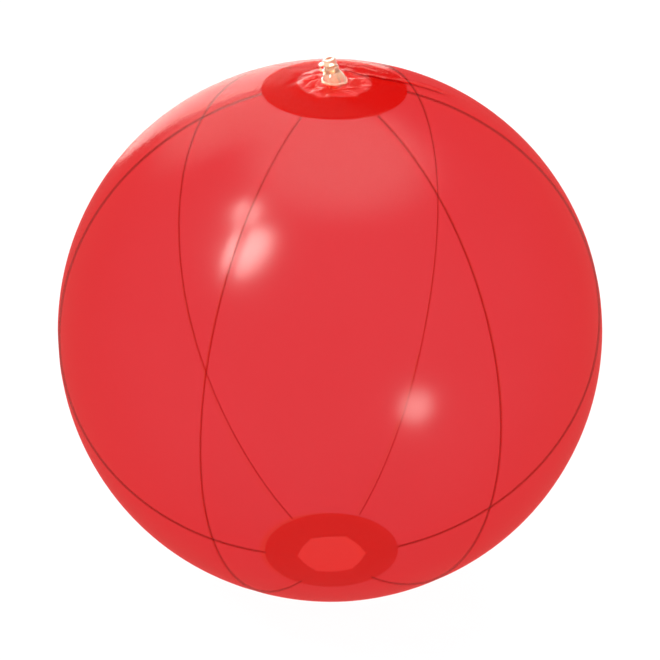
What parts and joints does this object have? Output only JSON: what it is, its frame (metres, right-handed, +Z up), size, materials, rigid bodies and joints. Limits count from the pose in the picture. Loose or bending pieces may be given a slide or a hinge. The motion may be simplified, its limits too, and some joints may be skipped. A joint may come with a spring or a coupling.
{
  "type": "inflatable beach ball",
  "caption": "Round inflatable ball of translucent film panels with a welded disc at each pole and a push-in air valve with a captive plug.",
  "frame": {"origin": "lowest point of the ball, on the outside of the base disc, where it stands", "axes": "+Z up from the base disc through the ball's centre to the valve; the valve's stem leans towards -X and its plug swings open towards -X"},
  "size_m": [0.28, 0.28, 0.2925],
  "materials": {
    "film": "translucent red soft PVC film, glossy",
    "disc_film": "translucent red soft PVC film with a welded rim",
    "valve_vinyl": "clear soft moulded PVC, slightly yellow"
  },
  "bodies": {
    "shell": {"gore_1": "film", "gore_2": "film", "gore_3": "film", "gore_4": "film", "gore_5": "film", "gore_6": "film", "base_disc": "disc_film", "valve_disc": "disc_film", "valve_flange": "valve_vinyl", "valve_bulb": "valve_vinyl"},
    "stem": {"valve_stem": "valve_vinyl"},
    "flap": {"check_flap": "valve_vinyl"},
    "plug": {"plug": "valve_vinyl"}
  },
  "joints": [
    {"name": "stem_push", "type": "slide", "parent": "shell", "child": "stem", "axis": [0.2419, 0, -0.9703], "range_m": [0, 0.0042], "deforming": ["valve_bulb"]},
    {"name": "plug_swing", "type": "hinge", "parent": "stem", "child": "plug", "pos_m": [-0.00677, 0, 0.2859], "axis": [0, -1, 0], "range_deg": [0, 90]},
    {"name": "flap_swing", "type": "hinge", "parent": "stem", "child": "flap", "pos_m": [0.00394, 0, 0.27768], "axis": [0, -1, 0], "range_deg": [0, 70], "stiffness_Nm_per_rad": 0.00005}
  ]
}
